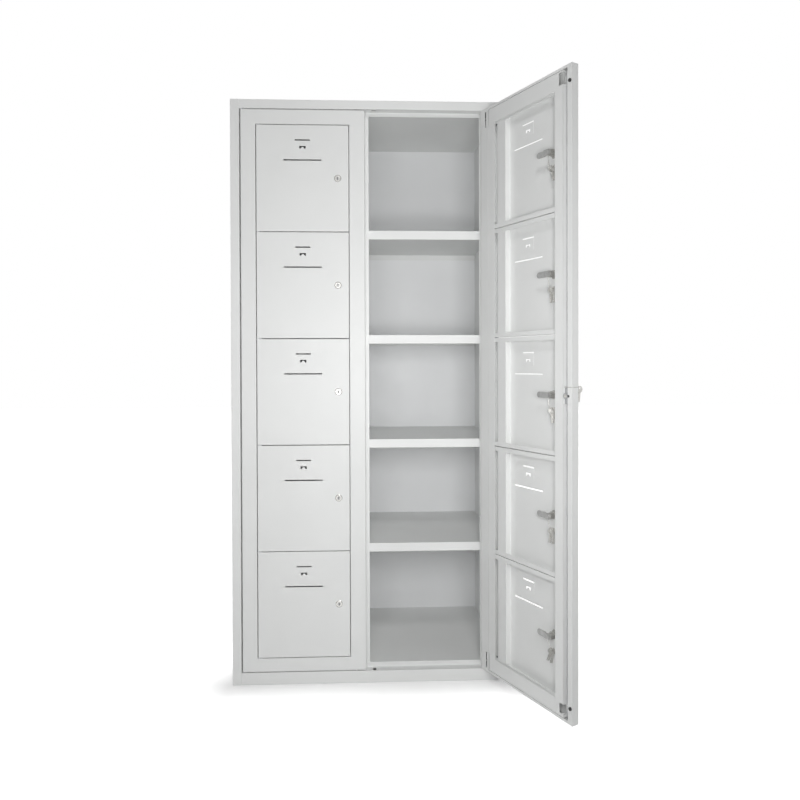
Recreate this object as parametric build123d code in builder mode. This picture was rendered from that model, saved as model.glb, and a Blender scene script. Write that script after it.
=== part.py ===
from build123d import *
import os

# Distribution locker cabinet: a folded steel carcass with ten compartments behind two master doors
# Origin: middle of the base on the floor. X to the right, Y to the back, Z up, in mm
# Each door is built shut. The right master door and what it carries is then swung to its rest pose

# Overall sizes
HEIGHT = 1800.0
WIDTH = 824.0
DEPTH = 490.0
SHEET = 1.0
BEND = 1.5
HALF = WIDTH / 2
FRONT = -DEPTH / 2
BACK = DEPTH / 2

# Front frame of the carcass
STILE = 27.0
TOP_RAIL = 27.0
BOTTOM_RAIL = 37.0
REBATE = 28.0
SIDE_STOP = 27.4
TOP_STOP = 12.0
FLOOR_Z = 51.0
RETURN = 20.0
BACK_INSET = 20.0
OPENING_X = HALF - STILE
OPENING_TOP = HEIGHT - TOP_RAIL
STOP_X = OPENING_X - SIDE_STOP
BACK_Y = BACK - SHEET - BACK_INSET
BACK_DEEP = BACK_Y - FRONT
RIB_HALF = 30.0
RIB_END = BACK_DEEP - RETURN - 5

# Central partition
NOSE_HALF = 10.1
NOSE_DEPTH = 15.0

# Master doors
HINGE_GAP = 4.0
DOOR_GAP = 3.0
DOOR_DEEP = 24.0
DOOR_ROUND = 2.0
HINGE_X = OPENING_X - HINGE_GAP
DOOR_WIDTH = HINGE_X - DOOR_GAP / 2
DOOR_LOW = BOTTOM_RAIL + DOOR_GAP
DOOR_TOP = OPENING_TOP - DOOR_GAP
EDGE_LIP = 16.0
HINGE_LIP = 35.0
END_LIP = 7.0
PIVOT_IN = 4.5
PIVOT_DEEP = 5.0
PIVOT_X = HINGE_X - PIVOT_IN
PIVOT_Y = FRONT + PIVOT_DEEP
PIN_R = 3.0
PIN_HEAD_R = 3.6
PIN_LONG = 26.0
RUNNING = 0.05
POCKET_NEAR = 22.0
POCKET_FAR = 39.0
POCKET_TOP = DOOR_TOP - 10
POCKET_LOW = DOOR_LOW + 10.5
POCKET_TALL = 48.0
BRACKET_NEAR = 26.5
BRACKET_FAR = 34.0
REST_OPEN = 119.0

# Small doors, counted from the top
ROWS = 5
SMALL_GAP = 2.5
HEAD_FRAME = 46.0
FOOT_FRAME = 42.5
HINGE_FRAME = 46.5
LOCK_FRAME = 49.5
FIRST_GAP_Z = DOOR_TOP - HEAD_FRAME
PITCH = (FIRST_GAP_Z - DOOR_LOW - FOOT_FRAME) / ROWS
SMALL_NEAR_X = HINGE_X - HINGE_FRAME - SMALL_GAP / 2
SMALL_FAR_X = LOCK_FRAME + SMALL_GAP / 2
SMALL_IN = HINGE_X - SMALL_NEAR_X
SMALL_OUT = HINGE_X - SMALL_FAR_X
SMALL_TALL = PITCH - SMALL_GAP
SMALL_DEEP = 19.5
SMALL_ROUND = 1.5
SMALL_LIP = 13.0
WINDOW_IN = SMALL_IN - SMALL_GAP
WINDOW_OUT = SMALL_OUT + SMALL_GAP
WINDOW_TOP = FIRST_GAP_Z + SMALL_GAP / 2
WINDOW_LOW = FIRST_GAP_Z - ROWS * PITCH - SMALL_GAP / 2
BOX_IN = 76.0
BOX_OUT = 111.5
SMALL_PIVOT_IN = SMALL_IN + 5.25
SMALL_PIVOT_DEEP = 5.0
SMALL_PIN_R = 2.5
LUG = 1.5
LUG_REACH = 7.5
DIVISIONS = [FIRST_GAP_Z - n * PITCH for n in range(ROWS + 1)]
MIDDLES = [FIRST_GAP_Z - (n + 0.5) * PITCH for n in range(ROWS)]

# Inner channels of the master doors
CHANNEL_HINGE = 66.8
CHANNEL_LOCK = DOOR_WIDTH - 61.9
CHANNEL_EDGE = DOOR_WIDTH - 33.5
CHANNEL_WEB = DOOR_WIDTH - 31.5
CHANNEL_LAP = 9.75
CHANNEL_GAP = 1.4
SEAM = 0.05
CHANNEL_TOP_Z = WINDOW_TOP - CHANNEL_LAP
CHANNEL_LOW_Z = WINDOW_LOW + CHANNEL_LAP
NOTCH_IN = DOOR_WIDTH - 46.5
NOTCHES = ((DOOR_TOP - 45.5, DOOR_TOP - 12.5), (DOOR_LOW + 16.6, DOOR_LOW + 43.5))

# Shelves: a level is the line between two small doors
SHELF_FRONT = 38.0
SHELF_UP = 12.0
SHELF_DOWN = 15.0
SHELF_TOP = 9.0
SHELF_REAR = 11.0
RIVET_XS = (86.0, HALF - 158.0)
RIVET_DROP = 3.5
RIVET_HEAD_R = 3.5
RIVET_R = 2.0

# Locks and rods
ROD_X = 26.5
ROD_DEEP = 11.0
ROD_R = 4.0
ROD_HOLE_R = 7.75
ROD_SLIP = 0.1
ROD_TUCK = 0.5
MASTER_LOCK_IN = DOOR_WIDTH - 22.1
MASTER_LOCK_Z = MIDDLES[ROWS // 2]
MASTER_BARREL_R = 8.0
MASTER_PLUG_R = 5.0
SIDE_HOLE_IN = DOOR_WIDTH - 12.7
CASE_IN = DOOR_WIDTH - 30.4
CASE_OUT = DOOR_WIDTH - 5.5
CASE_HALF = 21.0
CASE_DEEP = 19.0
CAM_DISC_R = 7.0
ROD_CLEAR = 11.0
BOLT_LONG = 260.0
LOCK_IN = HINGE_X - 84.3
BARREL_R = 9.0
FLANGE_R = 11.0
FLANGE_TOP_R = 8.4
FLANGE = 1.5
PLUG_R = 6.0
BARREL_END = 27.0
NUT_ACROSS = 24.0
NUT = 4.0
CAM_LONG = 45.0
CAM_WIDE = 16.0
CAM_THICK = 2.5
CAM_STEP = 3.0
CAM_STEP_AT = 13.0

# Rubber buffers
BUFFER_IN = DOOR_WIDTH - 6.0
BUFFER_R = 4.5
BUFFER_STEM_R = 2.5
BUFFER_ZS = (DOOR_TOP - 45.5, DOOR_LOW + 44.6)
BUFFER_END = 27.7

# Keys
WIRE_R = 0.8
LOOP_R = 14.0
LOOP_TALL = 48.0
RING_DEEP = 13.5
KEY_LONG = 43.0
KEY_THICK = 2.0
KEY_BOW_R = 9.0
KEY_HOLE_R = 3.6
KEY_SLACK = 1.5
KEY_APART = 3.2
KEY_SPLAY = 5.0
KEY_LEANS = (20.0, 3.0, 12.0, -6.0, -16.0)
KEY_TURNS = (-28.0, -20.0, -30.0, -28.0, -24.0)

LEFT = -1
RIGHT = 1
OUT = "parts"
os.makedirs(OUT, exist_ok=True)


def slab(x0, x1, y0, y1, z0, z1, mode=Mode.ADD):
    # A box between two corners, y counted from the front plane
    with Locations(((x0 + x1) / 2, FRONT + (y0 + y1) / 2, (z0 + z1) / 2)):
        Box(abs(x1 - x0), abs(y1 - y0), abs(z1 - z0), mode=mode)


def door_slab(side, s0, s1, t0, t1, z0, z1, mode=Mode.ADD):
    # The same in door measures: s from the hinge edge towards the free edge, t behind the outer face
    slab(side * (HINGE_X - s0), side * (HINGE_X - s1), t0, t1, z0, z1, mode)


def post(x, t, r, z0, z1, mode=Mode.ADD):
    # An upright round bar or hole
    with Locations((x, FRONT + t, (z0 + z1) / 2)):
        Cylinder(r, z1 - z0, mode=mode)


def peg(x, z, r, t0, t1, mode=Mode.ADD):
    # A round bar or hole that runs from front to back
    with Locations(Location((x, FRONT + (t0 + t1) / 2, z), (90, 0, 0))):
        Cylinder(r, t1 - t0, mode=mode)


def rosette(x, z):
    # The bevelled front flange of a lock
    with Locations(Location((x, FRONT - FLANGE / 2, z), (90, 0, 0))):
        Cone(FLANGE_R, FLANGE_TOP_R, FLANGE)


def folded(points, right=True):
    # A bent sheet section: the points are its outer line, and the sheet lies beside it
    with BuildLine() as line:
        FilletPolyline(*points, radius=BEND)
        offset(amount=SHEET, side=Side.RIGHT if right else Side.LEFT)
    make_face(line.edges())


def save(part, label, swung=False):
    if swung:
        part = part.rotate(Axis((PIVOT_X, PIVOT_Y, 0), (0, 0, 1)), REST_OPEN)
    part.label = label
    export_step(part, OUT + "/" + label + ".step")


# Side panel: outer wall, front stile, rebate, stop flange and rear return
def side_panel(side):
    with BuildPart() as panel:
        with BuildSketch(Plane.XY):
            folded([
                (HALF - RETURN, BACK),
                (HALF, BACK),
                (HALF, FRONT),
                (OPENING_X, FRONT),
                (OPENING_X, FRONT + REBATE),
                (STOP_X, FRONT + REBATE),
            ])
        extrude(amount=HEIGHT)
        slab(STOP_X - 1, HALF - SHEET, SHEET, DEPTH - SHEET, HEIGHT - SHEET, HEIGHT + 1, Mode.SUBTRACT)
    if side == RIGHT:
        return panel.part
    return mirror(panel.part, about=Plane.YZ)


# Top panel: stop flange, top rail, top sheet and rear return
with BuildPart() as top_panel:
    with BuildSketch(Plane.YZ.offset(-OPENING_X)):
        folded([
            (FRONT + REBATE, OPENING_TOP - TOP_STOP),
            (FRONT + REBATE, OPENING_TOP),
            (FRONT, OPENING_TOP),
            (FRONT, HEIGHT),
            (BACK, HEIGHT),
            (BACK, HEIGHT - RETURN),
        ])
    extrude(amount=2 * OPENING_X)
    for side in (LEFT, RIGHT):
        slab(side * STOP_X, side * HALF, REBATE, REBATE + 5, OPENING_TOP - 20, OPENING_TOP + 5, Mode.SUBTRACT)
        slab(side * (OPENING_X - 2), side * OPENING_X, REBATE - 2, REBATE, OPENING_TOP - 5, OPENING_TOP + 2,
             Mode.SUBTRACT)
        slab(side * OPENING_X, side * (HALF - SHEET), SHEET, DEPTH - SHEET, HEIGHT - SHEET, HEIGHT)
        post(side * ROD_X, ROD_DEEP, ROD_HOLE_R, OPENING_TOP - 1, OPENING_TOP + 3, Mode.SUBTRACT)
        post(side * PIVOT_X, PIVOT_DEEP, PIN_R + 0.1, OPENING_TOP - 1, OPENING_TOP + 3, Mode.SUBTRACT)
save(top_panel.part, "top_panel")

# Base panel: bottom rail, stop flange, raised floor, rear flange and the rib under the partition
with BuildPart() as base_panel:
    with BuildSketch(Plane.YZ.offset(-OPENING_X)):
        folded([
            (FRONT + RETURN, 0),
            (FRONT, 0),
            (FRONT, BOTTOM_RAIL),
            (FRONT + REBATE, BOTTOM_RAIL),
            (FRONT + REBATE, FLOOR_Z),
            (BACK_Y, FLOOR_Z),
            (BACK_Y, 0),
            (BACK_Y - RETURN, 0),
        ])
    extrude(amount=2 * OPENING_X)
    for side in (LEFT, RIGHT):
        slab(side * STOP_X, side * HALF, REBATE, REBATE + SHEET, BOTTOM_RAIL - 2, FLOOR_Z + 5, Mode.SUBTRACT)
        slab(side * (OPENING_X - 2), side * OPENING_X, REBATE - 2, REBATE, BOTTOM_RAIL - 2, BOTTOM_RAIL + 5,
             Mode.SUBTRACT)
        slab(side * OPENING_X, side * (HALF - SHEET), REBATE + SHEET, BACK_DEEP - SHEET,
             FLOOR_Z - SHEET, FLOOR_Z)
        post(side * ROD_X, ROD_DEEP, ROD_HOLE_R, BOTTOM_RAIL - 3, BOTTOM_RAIL + 1, Mode.SUBTRACT)
        post(side * PIVOT_X, PIVOT_DEEP, PIN_R + 0.1, BOTTOM_RAIL - 3, BOTTOM_RAIL + 1, Mode.SUBTRACT)
        slab(side * (RIB_HALF - SHEET), side * RIB_HALF, REBATE + SHEET, RIB_END, 0, FLOOR_Z - SHEET)
    slab(-RIB_HALF, RIB_HALF, RETURN, RIB_END, 0, SHEET)
save(base_panel.part, "base_panel")

# Back panel: a pan that sits inside the rear returns
RIVET_PLACES = [(side * x, z - RIVET_DROP) for side in (LEFT, RIGHT) for x in RIVET_XS for z in DIVISIONS[1:ROWS]]
PAN_X = HALF - SHEET
with BuildPart() as back_panel:
    slab(-PAN_X, PAN_X, BACK_DEEP, DEPTH - BEND, SHEET, HEIGHT - SHEET)
    slab(-PAN_X + SHEET, PAN_X - SHEET, BACK_DEEP + SHEET, DEPTH, 2 * SHEET, HEIGHT - 2 * SHEET, Mode.SUBTRACT)
    for x, z in RIVET_PLACES:
        peg(x, z, RIVET_R + 0.1, BACK_DEEP - 1, BACK_DEEP + 3, Mode.SUBTRACT)
save(back_panel.part, "back_panel")

save(side_panel(LEFT), "left_side_panel")
save(side_panel(RIGHT), "right_side_panel")

# Central partition: a single sheet with a closed nose that the master doors' buffers meet
with BuildPart() as central_partition:
    slab(-SHEET / 2, SHEET / 2, REBATE + NOSE_DEPTH - SHEET, BACK_DEEP, FLOOR_Z, HEIGHT - SHEET)
    slab(-NOSE_HALF, NOSE_HALF, REBATE, REBATE + NOSE_DEPTH, FLOOR_Z, HEIGHT - SHEET)
    slab(-NOSE_HALF + SHEET, NOSE_HALF - SHEET, REBATE + SHEET, REBATE + NOSE_DEPTH - SHEET,
         FLOOR_Z - 1, HEIGHT, Mode.SUBTRACT)
    slab(-NOSE_HALF, NOSE_HALF, REBATE - 1, REBATE + SHEET, OPENING_TOP - TOP_STOP, HEIGHT, Mode.SUBTRACT)
save(central_partition.part, "central_partition")


# Shelves of one column: front nose with a small upstand, plate, side flanges and rear flange
def shelf_group(side):
    inner = SHEET / 2
    outer = HALF - SHEET
    with BuildPart() as shelves:
        for level in DIVISIONS[1:ROWS]:
            with BuildSketch(Plane.YZ.offset(inner)):
                folded([
                    (FRONT + SHELF_FRONT + 15, level - SHELF_DOWN),
                    (FRONT + SHELF_FRONT, level - SHELF_DOWN),
                    (FRONT + SHELF_FRONT, level + SHELF_UP),
                ])
                folded([
                    (FRONT + SHELF_FRONT + SHEET / 2, level + SHELF_TOP),
                    (BACK_Y, level + SHELF_TOP),
                    (BACK_Y, level - SHELF_REAR),
                ])
            extrude(amount=outer - inner)
            slab(outer - SHEET, outer, 60, BACK_DEEP - 15, level - 6, level + SHELF_TOP)
            slab(0, NOSE_HALF, SHELF_FRONT - 1, REBATE + NOSE_DEPTH, level - 20, level + 20, Mode.SUBTRACT)
            for x in RIVET_XS:
                peg(x, level - RIVET_DROP, RIVET_R + 0.1, BACK_DEEP - 5, BACK_DEEP + 5, Mode.SUBTRACT)
    if side == RIGHT:
        return shelves.part
    return mirror(shelves.part, about=Plane.YZ)


save(shelf_group(LEFT), "left_shelves")
save(shelf_group(RIGHT), "right_shelves")

# Shelf rivets: dome head on the flange, shank and closed tail behind the back panel
FLANGE_T = BACK_DEEP - SHEET
with BuildPart() as shelf_rivets:
    for x, z in RIVET_PLACES:
        peg(x, z, RIVET_HEAD_R, FLANGE_T - 1.4, FLANGE_T)
        peg(x, z, RIVET_R, FLANGE_T, FLANGE_T + 2 * SHEET)
        peg(x, z, RIVET_R + 0.8, FLANGE_T + 2 * SHEET, FLANGE_T + 2 * SHEET + 1.6)
save(shelf_rivets.part, "shelf_rivets")

# Hinge pins of the master doors, held in the rails
with BuildPart() as frame_hinge_pins:
    for side in (LEFT, RIGHT):
        post(side * PIVOT_X, PIVOT_DEEP, PIN_R, DOOR_TOP - PIN_LONG, OPENING_TOP + SHEET)
        post(side * PIVOT_X, PIVOT_DEEP, PIN_HEAD_R, OPENING_TOP + SHEET, OPENING_TOP + SHEET + 3)
        post(side * PIVOT_X, PIVOT_DEEP, PIN_R, BOTTOM_RAIL - SHEET, DOOR_LOW + PIN_LONG)
        post(side * PIVOT_X, PIVOT_DEEP, PIN_HEAD_R, BOTTOM_RAIL - SHEET - 3, BOTTOM_RAIL - SHEET)
save(frame_hinge_pins.part, "frame_hinge_pins")


# Master door frame: outer sheet, edge returns, inner lips, window returns and hinge lugs
def master_frame(side):
    skin = DOOR_DEEP - SHEET
    with BuildPart() as frame:
        door_slab(side, 0, DOOR_WIDTH, 0, DOOR_DEEP, DOOR_LOW, DOOR_TOP)
        face = frame.faces().sort_by(Axis.Y)[0]
        fillet(face.edges(), DOOR_ROUND)
        door_slab(side, SHEET, DOOR_WIDTH - SHEET, SHEET, skin, DOOR_LOW + SHEET, DOOR_TOP - SHEET,
                  Mode.SUBTRACT)
        door_slab(side, HINGE_LIP, DOOR_WIDTH - EDGE_LIP, skin - 1, DOOR_DEEP, DOOR_LOW + END_LIP,
                  DOOR_TOP - END_LIP, Mode.SUBTRACT)
        door_slab(side, WINDOW_IN - SHEET, WINDOW_OUT + SHEET, 0.5, skin, WINDOW_LOW - SHEET,
                  WINDOW_TOP + SHEET)
        door_slab(side, WINDOW_IN, WINDOW_OUT, -1, DOOR_DEEP, WINDOW_LOW, WINDOW_TOP, Mode.SUBTRACT)
        for z0 in (POCKET_TOP - POCKET_TALL, POCKET_LOW):
            door_slab(side, POCKET_NEAR, POCKET_FAR, skin - 1, DOOR_DEEP, z0, z0 + POCKET_TALL, Mode.SUBTRACT)
            door_slab(side, BRACKET_NEAR, BRACKET_FAR, skin - 2, skin, z0 - 6, z0 + POCKET_TALL + 6)
        for z in (DOOR_TOP - 22, DOOR_LOW + 22):
            door_slab(side, SHEET, 2 * PIVOT_IN, SHEET, skin, z - 1.5, z + 1.5)
        pin_x = side * PIVOT_X
        post(pin_x, PIVOT_DEEP, PIN_R + RUNNING, DOOR_TOP - 30, DOOR_TOP + 1, Mode.SUBTRACT)
        post(pin_x, PIVOT_DEEP, PIN_R + RUNNING, DOOR_LOW - 1, DOOR_LOW + 30, Mode.SUBTRACT)
        rod_x = side * ROD_X
        post(rod_x, ROD_DEEP, ROD_R + ROD_SLIP, DOOR_TOP - 3, DOOR_TOP + 1, Mode.SUBTRACT)
        post(rod_x, ROD_DEEP, ROD_R + ROD_SLIP, DOOR_LOW - 1, DOOR_LOW + 3, Mode.SUBTRACT)
        for z in BUFFER_ZS:
            peg(side * (HINGE_X - BUFFER_IN), z, BUFFER_STEM_R, skin - 1, DOOR_DEEP + 1, Mode.SUBTRACT)
        if side == RIGHT:
            peg(HINGE_X - MASTER_LOCK_IN, MASTER_LOCK_Z, MASTER_BARREL_R + RUNNING, -1, 3, Mode.SUBTRACT)
            peg(HINGE_X - MASTER_LOCK_IN, MASTER_LOCK_Z, MASTER_BARREL_R + 0.3, skin - 1, DOOR_DEEP + 1,
                Mode.SUBTRACT)
            peg(HINGE_X - SIDE_HOLE_IN, MASTER_LOCK_Z, 3.5, skin - 1, DOOR_DEEP + 1, Mode.SUBTRACT)
        else:
            for z0, z1 in bolt_slots():
                door_slab(side, DOOR_WIDTH - 3, DOOR_WIDTH + 1, ROD_DEEP - 3, ROD_DEEP + 3, z0, z1,
                          Mode.SUBTRACT)
            for z in bolt_guides():
                door_slab(side, CHANNEL_WEB + SHEET, DOOR_WIDTH - SHEET, SHEET, skin, z - 1, z + 1)
                post(rod_x, ROD_DEEP, ROD_R + ROD_SLIP, z - 3, z + 3, Mode.SUBTRACT)
    return frame.part


# Flush bolt measures: thumb tab in a slot of the free edge, guide plate near the inner end
BOLT_TRAVEL = 15.0
TAB_HALF = 6.0
TAB_AT = 200.0


def bolt_slots():
    high = DOOR_TOP - TAB_AT
    low = DOOR_LOW + TAB_AT
    room = TAB_HALF + 1
    return [(high - room, high + room + BOLT_TRAVEL), (low - room - BOLT_TRAVEL, low + room)]


def bolt_guides():
    return [DOOR_TOP - BOLT_LONG + 20, DOOR_LOW + BOLT_LONG - 20]


# Inner channels: four stiffeners round the window, which overlap the small doors as their stop
def master_channels(side):
    back = DOOR_DEEP
    inner = back - SHEET
    low = DOOR_LOW + END_LIP + CHANNEL_GAP
    top = DOOR_TOP - END_LIP - CHANNEL_GAP
    near = HINGE_LIP + CHANNEL_GAP
    with BuildPart() as channels:
        door_slab(side, near, CHANNEL_HINGE, inner, back, low, top)
        door_slab(side, near, near + SHEET, SHEET, inner, low, top)
        door_slab(side, CHANNEL_LOCK, CHANNEL_EDGE, inner, back, low, top)
        door_slab(side, CHANNEL_WEB, CHANNEL_WEB + SHEET, SHEET, back, low, top)
        door_slab(side, CHANNEL_EDGE - SHEET, CHANNEL_WEB, SHEET, 2 * SHEET, low, top)
        door_slab(side, CHANNEL_EDGE - SHEET, CHANNEL_EDGE, SHEET, inner, low, top)
        for z0, z1 in NOTCHES:
            door_slab(side, NOTCH_IN, CHANNEL_WEB + SHEET, DOOR_DEEP - 12, back + 1, z0, z1, Mode.SUBTRACT)
        for z0 in (POCKET_TOP - POCKET_TALL, POCKET_LOW):
            door_slab(side, 0, POCKET_FAR, 0, back + 1, z0, z0 + POCKET_TALL, Mode.SUBTRACT)
        door_slab(side, CHANNEL_HINGE + SEAM, CHANNEL_LOCK - SEAM, inner, back, CHANNEL_TOP_Z, top)
        door_slab(side, CHANNEL_HINGE + SEAM, CHANNEL_LOCK - SEAM, inner, back, low, CHANNEL_LOW_Z)
    return channels.part


# Rubber buffers on the free edge's lip
def buffers(side):
    x = side * (HINGE_X - BUFFER_IN)
    with BuildPart() as rubbers:
        for z in BUFFER_ZS:
            peg(x, z, BUFFER_R, DOOR_DEEP, BUFFER_END)
            peg(x, z, BUFFER_STEM_R, DOOR_DEEP - 2.5, DOOR_DEEP)
    return rubbers.part


# Hinge pins of the small doors: a lug from the window return in each gap, with a pin up and down
def small_pins(side):
    x = side * (HINGE_X - SMALL_PIVOT_IN)
    reach = 9.0
    with BuildPart() as pins:
        for n, z in enumerate(DIVISIONS):
            up = reach if n > 0 else SMALL_GAP / 2
            down = reach if n < ROWS else SMALL_GAP / 2
            post(x, SMALL_PIVOT_DEEP, SMALL_PIN_R, z - down, z + up)
            if 0 < n < ROWS:
                door_slab(side, WINDOW_IN, SMALL_PIVOT_IN + LUG_REACH, 2.5, 14, z - LUG / 2, z + LUG / 2)
            elif n == 0:
                door_slab(side, WINDOW_IN, SMALL_PIVOT_IN + LUG_REACH, 2.5, 14, z - LUG / 2, z + SMALL_GAP / 2)
            else:
                door_slab(side, WINDOW_IN, SMALL_PIVOT_IN + LUG_REACH, 2.5, 14, z - SMALL_GAP / 2, z + LUG / 2)
    return pins.part


# Small door: folded tray with inner lips, a box stiffener, the card pocket and the vent slot
SLIT = 3.6
CARD_SLIT_DROP = 44.2
CARD_SLIT_WIDE = 46.0
TAB_WIDE = 19.0
TAB_DROP = 64.2
TAB_TALL = 8.0
TONGUE_R = 5.3
CARD_DROP = 81.0
VENT_DROP = 107.3
VENT_WIDE = 116.0
PRESS = 0.5


def small_door(side, middle):
    low = middle - SMALL_TALL / 2
    top = middle + SMALL_TALL / 2
    skin = SMALL_DEEP - SHEET
    centre = side * (SMALL_NEAR_X + SMALL_FAR_X) / 2
    with BuildPart() as tray:
        door_slab(side, SMALL_IN, SMALL_OUT, 0, SMALL_DEEP, low, top)
        face = tray.faces().sort_by(Axis.Y)[0]
        fillet(face.edges(), SMALL_ROUND)
        door_slab(side, SMALL_IN + SHEET, SMALL_OUT - SHEET, SHEET, skin, low + SHEET, top - SHEET,
                  Mode.SUBTRACT)
        door_slab(side, SMALL_IN + SHEET, SMALL_OUT - SMALL_LIP, skin - 1, SMALL_DEEP + 1,
                  low + SMALL_LIP, top - SMALL_LIP, Mode.SUBTRACT)
        door_slab(side, BOX_IN, BOX_OUT, 0.5, SMALL_DEEP, low + 0.5, top - 0.5)
        door_slab(side, BOX_IN + SHEET, BOX_OUT - SHEET, SHEET, skin, low + SHEET, top - SHEET,
                  Mode.SUBTRACT)
        peg(side * (HINGE_X - LOCK_IN), middle, BARREL_R + RUNNING, -1, 3, Mode.SUBTRACT)
        post(side * (HINGE_X - SMALL_PIVOT_IN), SMALL_PIVOT_DEEP, SMALL_PIN_R + RUNNING, low - 1, low + 3,
             Mode.SUBTRACT)
        post(side * (HINGE_X - SMALL_PIVOT_IN), SMALL_PIVOT_DEEP, SMALL_PIN_R + RUNNING, top - 3, top + 1,
             Mode.SUBTRACT)
        card = CARD_SLIT_WIDE / 2
        slab(centre - card, centre + card, -1, PRESS, top - CARD_DROP, top - CARD_SLIT_DROP, Mode.SUBTRACT)
        slab(centre - card, centre + card, -1, 2, top - CARD_SLIT_DROP - SLIT, top - CARD_SLIT_DROP,
             Mode.SUBTRACT)
        slab(centre - card, centre + card, PRESS, SHEET + PRESS, top - CARD_DROP,
             top - CARD_SLIT_DROP - SLIT)
        half = TAB_WIDE / 2
        slab(centre - half, centre + half, -1, 3, top - TAB_DROP - TAB_TALL, top - TAB_DROP, Mode.SUBTRACT)
        peg(centre, top - TAB_DROP - TAB_TALL, TONGUE_R, PRESS, SHEET + PRESS)
        vent = VENT_WIDE / 2
        slab(centre - vent, centre + vent, -1, 3, top - VENT_DROP - SLIT / 2, top - VENT_DROP + SLIT / 2,
             Mode.SUBTRACT)
    return tray.part


# Cam lock of a small door: rosette and barrel in one, and the nut behind the sheet
def lock_body(side, middle):
    x = side * (HINGE_X - LOCK_IN)
    with BuildPart() as body:
        rosette(x, middle)
        peg(x, middle, BARREL_R, 0, BARREL_END)
        with BuildSketch(Plane.XZ.offset(-(FRONT + SHEET))):
            with Locations((x, middle)):
                RegularPolygon(NUT_ACROSS / 2, 6, major_radius=False)
        extrude(amount=-NUT)
        peg(x, middle, PLUG_R + RUNNING, -FLANGE - 1, BARREL_END + 1, Mode.SUBTRACT)
    return body.part


# Lock plug with the keyway, the cranked cam and the cam screw
def lock_plug(side, middle):
    x = side * (HINGE_X - LOCK_IN)
    hub = BARREL_END + 0.3
    arm = hub - CAM_STEP
    with BuildPart() as plug:
        peg(x, middle, PLUG_R, -FLANGE, hub)
        peg(x, middle, CAM_WIDE / 2, hub, hub + CAM_THICK)
        door_slab(side, LOCK_IN - CAM_STEP_AT, LOCK_IN, hub, hub + CAM_THICK, middle - CAM_WIDE / 2,
                  middle + CAM_WIDE / 2)
        door_slab(side, LOCK_IN - CAM_STEP_AT - CAM_THICK, LOCK_IN - CAM_STEP_AT, arm, hub + CAM_THICK,
                  middle - CAM_WIDE / 2, middle + CAM_WIDE / 2)
        door_slab(side, LOCK_IN - CAM_LONG + CAM_WIDE / 2, LOCK_IN - CAM_STEP_AT, arm, arm + CAM_THICK,
                  middle - CAM_WIDE / 2, middle + CAM_WIDE / 2)
        peg(x + side * (CAM_LONG - CAM_WIDE / 2), middle, CAM_WIDE / 2, arm, arm + CAM_THICK)
        with BuildSketch(Plane.XZ.offset(-(FRONT + hub + CAM_THICK))):
            with Locations((x, middle)):
                RegularPolygon(5, 6, major_radius=False)
        extrude(amount=-3)
        slab(x - 1.2, x + 1.2, -FLANGE - 1, 14, middle - 4, middle + 4, Mode.SUBTRACT)
    return plug.part


# One key, upright: the ring's wire passes at the origin, the bow is round and the bit has three cuts
def loose_key():
    hole_z = WIRE_R + KEY_SLACK - KEY_HOLE_R
    bow_z = hole_z + KEY_HOLE_R + 2 - KEY_BOW_R
    end_z = bow_z + KEY_BOW_R - KEY_LONG
    with BuildPart() as key:
        with BuildSketch(Plane.YZ.offset(-KEY_THICK / 2)):
            with Locations((0, bow_z)):
                Circle(KEY_BOW_R)
            with Locations((0, (bow_z + end_z) / 2)):
                Rectangle(7, bow_z - end_z)
            with Locations((0, hole_z)):
                Circle(KEY_HOLE_R, mode=Mode.SUBTRACT)
            for cut in (4, 9, 14):
                with Locations((4, end_z + cut)):
                    Rectangle(4, 2, mode=Mode.SUBTRACT)
        extrude(amount=KEY_THICK)
    return key.part


# A long wire loop with two keys that hangs on a lock barrel. The keys lean and turn differently in each row
def key_set(side, row, middle):
    x = side * (HINGE_X - LOCK_IN)
    top = middle + BARREL_R + 0.2 + WIRE_R
    bottom = top - LOOP_TALL
    half = LOOP_TALL / 2 - LOOP_R
    key = loose_key()
    with BuildPart() as keys:
        with BuildLine(Plane((x, FRONT + RING_DEEP, (top + bottom) / 2), x_dir=(1, 0, 0), z_dir=(0, -1, 0))) as loop:
            Line((LOOP_R, -half), (LOOP_R, half))
            ThreePointArc((LOOP_R, half), (0, half + LOOP_R), (-LOOP_R, half))
            Line((-LOOP_R, half), (-LOOP_R, -half))
            ThreePointArc((-LOOP_R, -half), (0, -half - LOOP_R), (LOOP_R, -half))
        with BuildSketch(Plane((x + LOOP_R, FRONT + RING_DEEP, (top + bottom) / 2 - half), z_dir=(0, 0, 1))):
            Circle(WIRE_R)
        sweep()
        for hand in (-1, 1):
            place = (x + hand * KEY_APART, FRONT + RING_DEEP, bottom)
            tilt = (0, KEY_LEANS[row] - hand * KEY_SPLAY, KEY_TURNS[row])
            with Locations(Location(place, tilt)):
                add(key)
    return keys.part


for side, name in ((LEFT, "left"), (RIGHT, "right")):
    swung = side == RIGHT
    save(master_frame(side), name + "_master_frame", swung)
    save(master_channels(side), name + "_master_channels", swung)
    save(buffers(side), name + "_master_buffers", swung)
    save(small_pins(side), name + "_small_door_pins", swung)
    for row, middle in enumerate(MIDDLES, start=1):
        stem = name + "_small_door_" + str(row)
        save(small_door(side, middle), stem, swung)
        save(lock_body(side, middle), stem + "_lock", swung)
        save(lock_plug(side, middle), stem + "_cam", swung)
        if side == RIGHT:
            save(key_set(side, row - 1, middle), stem + "_keys", swung)

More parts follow.
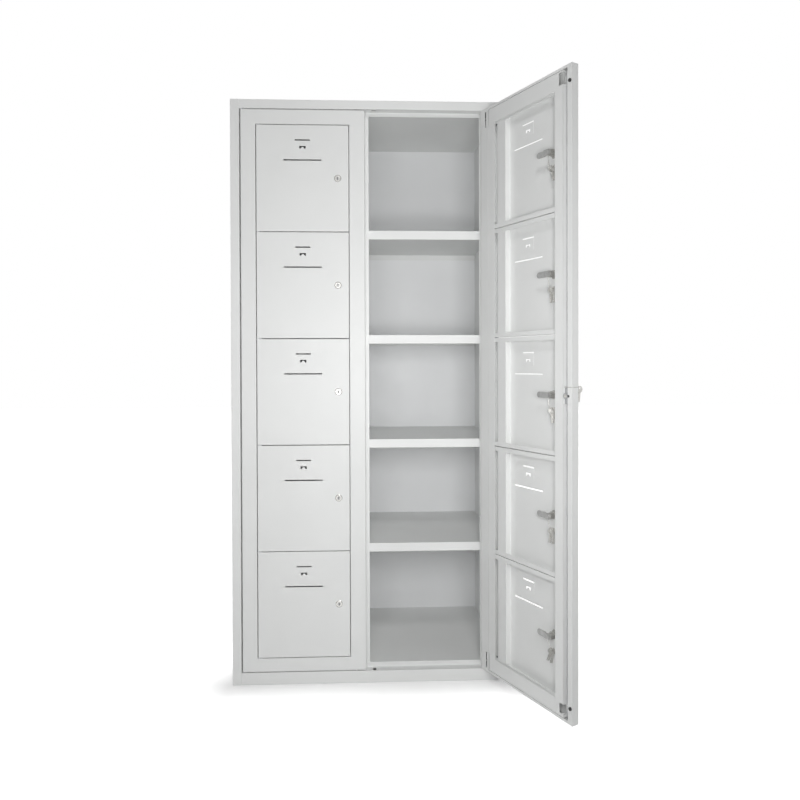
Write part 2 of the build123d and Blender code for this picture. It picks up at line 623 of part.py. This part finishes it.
# Master lock case: a box in the free edge with the barrel, its rosette and the rear collar
LOCK_X = HINGE_X - MASTER_LOCK_IN
COLLAR_END = DOOR_DEEP + 2
with BuildPart() as master_lock_case:
    door_slab(RIGHT, CASE_IN, CASE_OUT, SHEET, CASE_DEEP, MASTER_LOCK_Z - CASE_HALF, MASTER_LOCK_Z + CASE_HALF)
    door_slab(RIGHT, CASE_IN + 0.8, CASE_OUT - SHEET, SHEET, CASE_DEEP - SHEET,
              MASTER_LOCK_Z - CASE_HALF + 2, MASTER_LOCK_Z + CASE_HALF - 2, Mode.SUBTRACT)
    rosette(LOCK_X, MASTER_LOCK_Z)
    peg(LOCK_X, MASTER_LOCK_Z, MASTER_BARREL_R, 0, 7)
    peg(LOCK_X, MASTER_LOCK_Z, MASTER_BARREL_R, CASE_DEEP - SHEET, COLLAR_END)
    peg(LOCK_X, MASTER_LOCK_Z, MASTER_PLUG_R + RUNNING, -FLANGE - 1, COLLAR_END + 1, Mode.SUBTRACT)
    post(ROD_X, ROD_DEEP, ROD_R + ROD_SLIP, MASTER_LOCK_Z - CASE_HALF - 1, MASTER_LOCK_Z - CASE_HALF + 3,
         Mode.SUBTRACT)
    post(ROD_X, ROD_DEEP, ROD_R + ROD_SLIP, MASTER_LOCK_Z + CASE_HALF - 3, MASTER_LOCK_Z + CASE_HALF + 1,
         Mode.SUBTRACT)
save(master_lock_case.part, "right_master_lock_case", True)

# Master lock plug: keyway at the front, cam disc inside the case
with BuildPart() as master_lock_plug:
    peg(LOCK_X, MASTER_LOCK_Z, MASTER_PLUG_R, -FLANGE, COLLAR_END + 0.5)
    peg(LOCK_X, MASTER_LOCK_Z, CAM_DISC_R, 9, 12.5)
    slab(LOCK_X - 1.2, LOCK_X + 1.2, -FLANGE - 1, 16, MASTER_LOCK_Z - 3.8, MASTER_LOCK_Z + 3.8, Mode.SUBTRACT)
save(master_lock_plug.part, "right_master_lock_plug", True)

# Locking rods, drawn in at rest
with BuildPart() as upper_rod:
    post(ROD_X, ROD_DEEP, ROD_R, MASTER_LOCK_Z + ROD_CLEAR, DOOR_TOP - ROD_TUCK)
    chamfer(upper_rod.edges().sort_by(Axis.Z)[-1], 1)
save(upper_rod.part, "right_master_upper_rod", True)

with BuildPart() as lower_rod:
    post(ROD_X, ROD_DEEP, ROD_R, DOOR_LOW + ROD_TUCK, MASTER_LOCK_Z - ROD_CLEAR)
    chamfer(lower_rod.edges().sort_by(Axis.Z)[0], 1)
save(lower_rod.part, "right_master_lower_rod", True)

# Master key on a stiff wire that is hooked over the free edge, with its inner end in the edge channel
KEY_HOOK_Z = MASTER_LOCK_Z + 23.5
KEY_HANG_IN = DOOR_WIDTH - 6
KEY_HANG_T = -11.0
KEY_HANG_Z = KEY_HOOK_Z - KEY_SLACK + 0.1
HOOK = (
    (CHANNEL_WEB + 4.5, DOOR_DEEP - 6.5),
    (CHANNEL_WEB + 4.5, DOOR_DEEP + 0.9),
    (DOOR_WIDTH + 0.9, DOOR_DEEP + 0.9),
    (DOOR_WIDTH + 0.9, KEY_HANG_T),
    (DOOR_WIDTH - 12, KEY_HANG_T),
)
hung_key = loose_key()
with BuildPart() as master_keys:
    with BuildLine(Plane.XY.offset(KEY_HOOK_Z)) as hook:
        FilletPolyline(*[(HINGE_X - s, FRONT + t) for s, t in HOOK], radius=1.2)
    with BuildSketch(Plane(origin=hook.line @ 0, z_dir=hook.line % 0)):
        Circle(WIRE_R)
    sweep()
    with Locations(Location((HINGE_X - KEY_HANG_IN, FRONT + KEY_HANG_T, KEY_HANG_Z), (8, 0, 0))):
        add(hung_key)
save(master_keys.part, "right_master_keys", True)

# Flush bolts of the left master door, with a thumb tab that shows in the free edge
TAB_END = DOOR_WIDTH - 0.8
with BuildPart() as upper_bolt:
    post(-ROD_X, ROD_DEEP, ROD_R, DOOR_TOP - BOLT_LONG, DOOR_TOP - ROD_TUCK)
    door_slab(LEFT, HINGE_X - ROD_X, TAB_END, ROD_DEEP - 2.5, ROD_DEEP + 2.5, DOOR_TOP - TAB_AT - TAB_HALF,
              DOOR_TOP - TAB_AT + TAB_HALF)
save(upper_bolt.part, "left_master_upper_bolt")

with BuildPart() as lower_bolt:
    post(-ROD_X, ROD_DEEP, ROD_R, DOOR_LOW + ROD_TUCK, DOOR_LOW + BOLT_LONG)
    door_slab(LEFT, HINGE_X - ROD_X, TAB_END, ROD_DEEP - 2.5, ROD_DEEP + 2.5, DOOR_LOW + TAB_AT - TAB_HALF,
              DOOR_LOW + TAB_AT + TAB_HALF)
save(lower_bolt.part, "left_master_lower_bolt")
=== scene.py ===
# %% [markdown]
# # Distribution locker cabinet
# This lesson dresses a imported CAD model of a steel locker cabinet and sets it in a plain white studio.
# The cabinet has ten small lockable doors, five in each of two master doors. Every sheet metal piece,
# lock, rod, pin and key comes from the CAD frame, so most of the work is in materials and light.

# %% Set up
import math

import bpy
from mathutils import Matrix, Vector

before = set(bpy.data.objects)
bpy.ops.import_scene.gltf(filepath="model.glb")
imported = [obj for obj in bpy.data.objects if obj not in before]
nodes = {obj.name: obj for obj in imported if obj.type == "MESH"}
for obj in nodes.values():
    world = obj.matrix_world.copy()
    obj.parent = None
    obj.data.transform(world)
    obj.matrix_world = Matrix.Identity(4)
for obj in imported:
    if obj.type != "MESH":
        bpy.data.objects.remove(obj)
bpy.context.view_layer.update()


# %% [markdown]
# ## Small helpers
# Colours are written as hex sRGB values and turned into linear light by one function. Materials are node
# trees, and one function adds a node and links its inputs.

# %% Colour and node helpers
def linear(hex_code):
    """A hex sRGB colour as linear RGBA."""
    values = [int(hex_code[i:i + 2], 16) / 255 for i in (1, 3, 5)]
    out = [v / 12.92 if v <= 0.04045 else ((v + 0.055) / 1.055) ** 2.4 for v in values]
    return (*out, 1.0)


def add(tree, kind, place, **inputs):
    """Adds a node at a place in the tree. A socket among the inputs is linked, any other value is set."""
    node = tree.nodes.new(kind)
    node.location = place
    for name, value in inputs.items():
        socket = node.inputs[name.replace("_", " ")]
        if isinstance(value, bpy.types.NodeSocket):
            tree.links.new(value, socket)
        else:
            socket.default_value = value
    return node


def new_material(name):
    """An empty Principled material, with its tree, its shader and its object coordinates."""
    material = bpy.data.materials.new(name)
    material.use_nodes = True
    tree = material.node_tree
    shader = tree.nodes["Principled BSDF"]
    coords = add(tree, "ShaderNodeTexCoord", (-1300, 0)).outputs["Object"]
    return material, tree, shader, coords


def noise(tree, coords, place, size_mm, detail=2.0, rough=0.5):
    """Noise with features of about that size in millimetres."""
    node = add(tree, "ShaderNodeTexNoise", place, Vector=coords, Scale=1000.0 / size_mm, Detail=detail,
               Roughness=rough)
    return node.outputs["Fac"]


def ramp(tree, fac, place, low, high, out_low, out_high):
    """Maps a value from one range to another."""
    node = add(tree, "ShaderNodeMapRange", place, Value=fac)
    node.inputs["From Min"].default_value = low
    node.inputs["From Max"].default_value = high
    node.inputs["To Min"].default_value = out_low
    node.inputs["To Max"].default_value = out_high
    return node.outputs["Result"]


def blend(tree, fac, place, first, second):
    """Mixes two colours. Each is a socket or a fixed colour."""
    node = tree.nodes.new("ShaderNodeMix")
    node.data_type = "RGBA"
    node.location = place
    tree.links.new(fac, node.inputs[0])
    for socket, value in ((node.inputs[6], first), (node.inputs[7], second)):
        if isinstance(value, bpy.types.NodeSocket):
            tree.links.new(value, socket)
        else:
            socket.default_value = value
    return node.outputs[2]


# %% [markdown]
# ## Powder coat
# A polyester powder coat on steel has a faint orange peel about 1.5 mm across. Its gloss varies a little
# over a hand's width, and so does its tone. The back sheet gets a paler copy of the coat: painted light
# that brightens the backs of the compartments, which the lamps light less than the fronts.

# %% Powder coat material
COAT_IOR = 1.5
PEEL_HEIGHT = 0.000035


def powder_coat(name, light, dark):
    material, tree, shader, coords = new_material(name)
    broad = noise(tree, coords, (-1000, 300), 180.0, 3.0)
    tree.links.new(blend(tree, ramp(tree, broad, (-760, 300), 0.3, 0.7, 0.0, 1.0), (-500, 300),
                         linear(light), linear(dark)), shader.inputs["Base Color"])
    tree.links.new(ramp(tree, noise(tree, coords, (-1000, 60), 40.0, 3.0), (-760, 60), 0.3, 0.7, 0.40, 0.48),
                   shader.inputs["Roughness"])
    peel_height = ramp(tree, noise(tree, coords, (-1000, -200), 1.6, 2.0), (-760, -200), 0.3, 0.7, 0.0, 1.0)
    bump = add(tree, "ShaderNodeBump", (-420, -260), Height=peel_height, Distance=PEEL_HEIGHT, Strength=0.6)
    tree.links.new(bump.outputs["Normal"], shader.inputs["Normal"])
    shader.inputs["IOR"].default_value = COAT_IOR
    shader.inputs["Specular IOR Level"].default_value = 0.45
    return material


door_grey = powder_coat("light_grey_powder_coat", "#ecedec", "#e9eae9")
# Painted light: the back sheet gets a paler copy of the coat, so the compartments' backs read brighter.
back_coat_painted_paler = powder_coat("back_sheet_coat_painted_paler", "#f3f4f5", "#f0f1f2")
print("made", door_grey.name, "and", back_coat_painted_paler.name)


# %% [markdown]
# ## Metals and rubber
# Locks are nickel plated die castings, cams and rods are zinc plated steel, and keys are nickel plated too.
# Fine scratches come from a noise stretched along the bar. Surfaces that don't face along the lock's axis,
# such as the slope of a rosette and the side of a barrel, get a darker colour: painted shade, which draws
# a dark rim round the rosettes and barrels.

# %% Metal and rubber materials
GRAIN_MM = 0.6
GRAIN_HEIGHT = 0.00001


def plated(name, light, dark, low, high, metal=1.0, stretch=(1.0, 1.0, 1.0), axis=None, painted_side_shade="#7c7c7a"):
    material, tree, shader, coords = new_material(name)
    mapping = add(tree, "ShaderNodeMapping", (-1150, 0), Vector=coords)
    mapping.inputs["Scale"].default_value = stretch
    spots = noise(tree, mapping.outputs["Vector"], (-940, 240), 9.0, 4.0)
    colour = blend(tree, ramp(tree, spots, (-720, 240), 0.35, 0.65, 0.0, 1.0), (-480, 240),
                   linear(light), linear(dark))
    # Painted shade: surfaces that don't face along the axis take the darker side colour.
    if axis is not None:
        facing = add(tree, "ShaderNodeVectorMath", (-940, 480))
        facing.operation = "DOT_PRODUCT"
        tree.links.new(add(tree, "ShaderNodeTexCoord", (-1150, 480)).outputs["Normal"], facing.inputs[0])
        facing.inputs[1].default_value = axis
        square = add(tree, "ShaderNodeMath", (-780, 480))
        square.operation = "ABSOLUTE"
        tree.links.new(facing.outputs["Value"], square.inputs[0])
        colour = blend(tree, ramp(tree, square.outputs[0], (-640, 480), 0.8, 0.95, 0.0, 1.0), (-320, 400),
                       linear(painted_side_shade), colour)
    tree.links.new(colour, shader.inputs["Base Color"])
    grain = noise(tree, mapping.outputs["Vector"], (-940, -60), GRAIN_MM, 3.0)
    tree.links.new(ramp(tree, grain, (-720, -60), 0.3, 0.7, low, high), shader.inputs["Roughness"])
    bump = add(tree, "ShaderNodeBump", (-420, -220), Height=grain, Distance=GRAIN_HEIGHT, Strength=0.4)
    tree.links.new(bump.outputs["Normal"], shader.inputs["Normal"])
    shader.inputs["Metallic"].default_value = metal
    return material


def rubber(name, light, dark):
    material, tree, shader, coords = new_material(name)
    spots = noise(tree, coords, (-940, 200), 3.0, 3.0)
    tree.links.new(blend(tree, spots, (-480, 200), linear(light), linear(dark)), shader.inputs["Base Color"])
    tree.links.new(ramp(tree, spots, (-720, -60), 0.3, 0.7, 0.55, 0.75), shader.inputs["Roughness"])
    return material


RIGHT_DOOR_OPEN = 119.0
swing = math.radians(RIGHT_DOOR_OPEN)
swung_axis = (-math.sin(swing), math.cos(swing), 0.0)
# The swung copy paints its side shade along the open door's lock axis, lighter, with half the metal.
lock_left = plated("nickel_plated_lock", "#c9c8c4", "#bdbcb8", 0.22, 0.34, axis=(0.0, 1.0, 0.0))
lock_right = plated("nickel_plated_lock_swung", "#c9c8c4", "#bdbcb8", 0.22, 0.34, metal=0.5,
                    axis=swung_axis, painted_side_shade="#b4b3af")
cam_zinc = plated("zinc_plated_cam", "#b2b2b1", "#a2a2a1", 0.36, 0.5, metal=0.6)
rod_zinc = plated("bright_zinc_rod", "#bfc0c2", "#aeb0b3", 0.28, 0.42, stretch=(1.0, 1.0, 0.05))
case_zinc = plated("zinc_plated_case", "#b4b5b6", "#a7a8aa", 0.38, 0.52)
key_nickel = plated("nickel_plated_key", "#dddcd8", "#c4c3bf", 0.2, 0.34, metal=0.45)
buffer_rubber = rubber("matt_black_rubber", "#242424", "#1a1a1a")
print("made metals and rubber")


# %% [markdown]
# ## Materials on the CAD nodes
# Each node's name says what it is, so one function picks its material.

# %% Assign materials
def material_for(name):
    if name.endswith("_keys"):
        return key_nickel
    if name.endswith("_cam"):
        return cam_zinc
    if name.endswith("_lock") or name.endswith("lock_plug"):
        return lock_right if name.startswith("right") else lock_left
    if name.endswith("lock_case"):
        return case_zinc
    if "rod" in name or "bolt" in name or name.endswith("pins"):
        return rod_zinc
    if name.endswith("buffers"):
        return buffer_rubber
    if name == "back_panel":
        return back_coat_painted_paler
    return door_grey


for name, node in nodes.items():
    chosen = material_for(name)
    for index in range(max(1, len(node.material_slots))):
        if len(node.material_slots) == 0:
            node.data.materials.append(chosen)
        node.material_slots[index].material = chosen
print("materials on", len(nodes), "nodes")


# %% [markdown]
# ## Studio floor and world
# Seen by the camera or in a reflection, the floor and the world are white paper. The floor gets part of
# that white from the lamps, so it keeps a soft shadow near the cabinet, and glows fully farther out. Its glow
# also fades within 160 mm of the front and back edges of the base: a painted contact shadow where the
# paper meets the cabinet.

# %% Floor and world
FLOOR_HALF = 12.0
FLOOR_DROP = -0.0003
FLOOR_GLOW = 0.93
GLOW_FROM = 0.55
GLOW_TO = 1.0
# Painted contact shadow on the floor: where it is measured from, how far it reaches, how dark it starts.
PAINTED_SHADOW_CORNER = (0.395, 0.245, 0.0)
PAINTED_SHADOW_REACH = 0.16
PAINTED_SHADOW_LOW = 0.14


def seen_or_mirrored(tree, place):
    """1 for camera, glossy and transmission rays, which see the background as it looks."""
    path = add(tree, "ShaderNodeLightPath", place)
    total = path.outputs["Is Camera Ray"]
    for step, name in enumerate(("Is Glossy Ray", "Is Transmission Ray"), start=1):
        join = add(tree, "ShaderNodeMath", (place[0] + 160 * step, place[1]))
        join.operation = "MAXIMUM"
        tree.links.new(total, join.inputs[0])
        tree.links.new(path.outputs[name], join.inputs[1])
        total = join.outputs[0]
    return total


mesh = bpy.data.meshes.new("floor")
mesh.from_pydata([(-FLOOR_HALF, -FLOOR_HALF, 0), (FLOOR_HALF, -FLOOR_HALF, 0), (FLOOR_HALF, FLOOR_HALF, 0),
                  (-FLOOR_HALF, FLOOR_HALF, 0)], [], [(0, 1, 2, 3)])
floor = bpy.data.objects.new("floor", mesh)
bpy.context.scene.collection.objects.link(floor)
floor.location.z = FLOOR_DROP
paper, paper_tree, paper_shader, paper_coords = new_material("white_paper_floor")
paper_grain = noise(paper_tree, paper_coords, (-900, 0), 4.0)
paper_tree.links.new(blend(paper_tree, paper_grain, (-480, 0), linear("#f3f3f3"), linear("#efefef")),
                     paper_shader.inputs["Base Color"])
paper_shader.inputs["Roughness"].default_value = 0.9
distance = add(paper_tree, "ShaderNodeVectorMath", (-900, -300))
distance.operation = "LENGTH"
paper_tree.links.new(paper_coords, distance.inputs[0])
glow = ramp(paper_tree, distance.outputs["Value"], (-700, -300), GLOW_FROM, GLOW_TO, FLOOR_GLOW, 1.0)
paper_shader.inputs["Emission Color"].default_value = (1, 1, 1, 1)


def vector_step(operation, place, first, second=None):
    """One vector operation of the floor's painted contact shadow."""
    node = add(paper_tree, "ShaderNodeVectorMath", place)
    node.operation = operation
    paper_tree.links.new(first, node.inputs[0])
    if isinstance(second, bpy.types.NodeSocket):
        paper_tree.links.new(second, node.inputs[1])
    elif second is not None:
        node.inputs[1].default_value = second
    return node.outputs["Value" if operation == "LENGTH" else "Vector"]


# Painted contact shadow: the glow darkens towards the front and back edges of the base.
mirrored = vector_step("ABSOLUTE", (-1600, -300), paper_coords)
beyond = vector_step("SUBTRACT", (-1450, -300), mirrored, PAINTED_SHADOW_CORNER)
before = vector_step("MULTIPLY", (-1300, -400), beyond, (0.0, -1.0, 0.0))
gap = vector_step("LENGTH", (-1000, -400), vector_step("MAXIMUM", (-1150, -300), beyond, before))
painted_contact_shadow = ramp(paper_tree, gap, (-850, -450), 0.0, PAINTED_SHADOW_REACH, PAINTED_SHADOW_LOW, 1.0)
shaded = add(paper_tree, "ShaderNodeMath", (-500, -350))
shaded.operation = "MULTIPLY"
paper_tree.links.new(glow, shaded.inputs[0])
paper_tree.links.new(painted_contact_shadow, shaded.inputs[1])
glow = shaded.outputs[0]
strength = add(paper_tree, "ShaderNodeMath", (-300, -400))
strength.operation = "MULTIPLY"
paper_tree.links.new(glow, strength.inputs[0])
paper_tree.links.new(seen_or_mirrored(paper_tree, (-1000, -600)), strength.inputs[1])
paper_tree.links.new(strength.outputs[0], paper_shader.inputs["Emission Strength"])
floor.data.materials.append(paper)

WORLD_LEVEL = 0.07
world = bpy.data.worlds.new("studio")
world.use_nodes = True
tree = world.node_tree
dim = tree.nodes["Background"]
dim.inputs["Color"].default_value = (1, 1, 1, 1)
dim.inputs["Strength"].default_value = WORLD_LEVEL
seen = add(tree, "ShaderNodeBackground", (-100, -150), Color=(1, 1, 1, 1), Strength=1.0)
mix = add(tree, "ShaderNodeMixShader", (150, 0), Fac=seen_or_mirrored(tree, (-700, 200)))
tree.links.new(dim.outputs[0], mix.inputs[1])
tree.links.new(seen.outputs[0], mix.inputs[2])
tree.links.new(mix.outputs[0], tree.nodes["World Output"].inputs["Surface"])
bpy.context.scene.world = world
print("white floor and world")


# %% [markdown]
# ## Lamps
# Two compact softboxes, one on each side of the camera, light the fronts and reach into the open
# compartments. A small high lamp lights the shelves and adds the faint bands under them, and a low one
# reaches the lowest compartments. Two large softboxes behind the cabinet light its back and sides for
# views from there, and can't be seen from the front.

# %% Lamps
def softbox(name, place, target, width, height, watts):
    """A soft rectangular light that points at a target."""
    light = bpy.data.lights.new(name, "AREA")
    light.shape = "RECTANGLE"
    light.size = width
    light.size_y = height
    light.energy = watts
    obj = bpy.data.objects.new(name, light)
    bpy.context.scene.collection.objects.link(obj)
    obj.location = place
    obj.rotation_euler = (Vector(place) - Vector(target)).to_track_quat("Z", "Y").to_euler()
    obj.visible_camera = False
    return obj


BEFORE_DOORS = (0.0, -0.25, 1.0)
LAMPS = (
    # name, place, target, width, height, watts
    ("right_softbox", (0.24, -1.7, 1.05), BEFORE_DOORS, 0.5, 0.5, 8.4),
    ("left_softbox", (-0.18, -1.7, 1.0), BEFORE_DOORS, 0.5, 0.5, 4.4),
    ("high_lamp", (0.1, -2.4, 3.1), (0.0, 0.0, 0.9), 0.4, 0.4, 15.0),
    ("low_lamp", (0.25, -2.6, 0.6), (0.0, 0.0, 0.3), 0.6, 0.6, 3.5),
    ("rear_left_softbox", (-2.6, 1.8, 1.6), (-0.2, 0.2, 0.9), 1.6, 1.8, 24.0),
    ("rear_right_softbox", (2.2, 2.6, 1.6), (0.2, 0.2, 0.9), 1.6, 1.8, 19.0),
)
for lamp in LAMPS:
    softbox(*lamp)
print(len(LAMPS), "softboxes")


# %% [markdown]
# ## Camera
# The camera stands about 2 m in front of the doors at a metre's height, turned slightly to the right.
# Its place, its angles and its small shift were solved from the straight edges in the picture.

# %% Camera
PIXELS = 800
SENSOR_MM = 36.0
F_PX = 634.2932
CENTRE = (401.8, 368.5522)
PLACE = (0.0365, -2.2074, 0.9908)
YAW, PITCH, ROLL = 0.0382, -0.0084, 0.0028
camera_data = bpy.data.cameras.new("camera")
camera_data.sensor_width = SENSOR_MM
camera_data.lens = F_PX / PIXELS * SENSOR_MM
camera_data.shift_x = (PIXELS / 2 - CENTRE[0]) / PIXELS
camera_data.shift_y = (CENTRE[1] - PIXELS / 2) / PIXELS
camera = bpy.data.objects.new("camera", camera_data)
bpy.context.scene.collection.objects.link(camera)
turn = (Matrix.Rotation(-YAW, 4, "Z") @ Matrix.Rotation(math.pi / 2 + PITCH, 4, "X")
        @ Matrix.Rotation(-ROLL, 4, "Z"))
camera.matrix_world = Matrix.Translation(PLACE) @ turn
bpy.context.scene.camera = camera
bpy.context.scene.view_settings.view_transform = "Standard"
print("lens", round(camera_data.lens, 2), "mm")
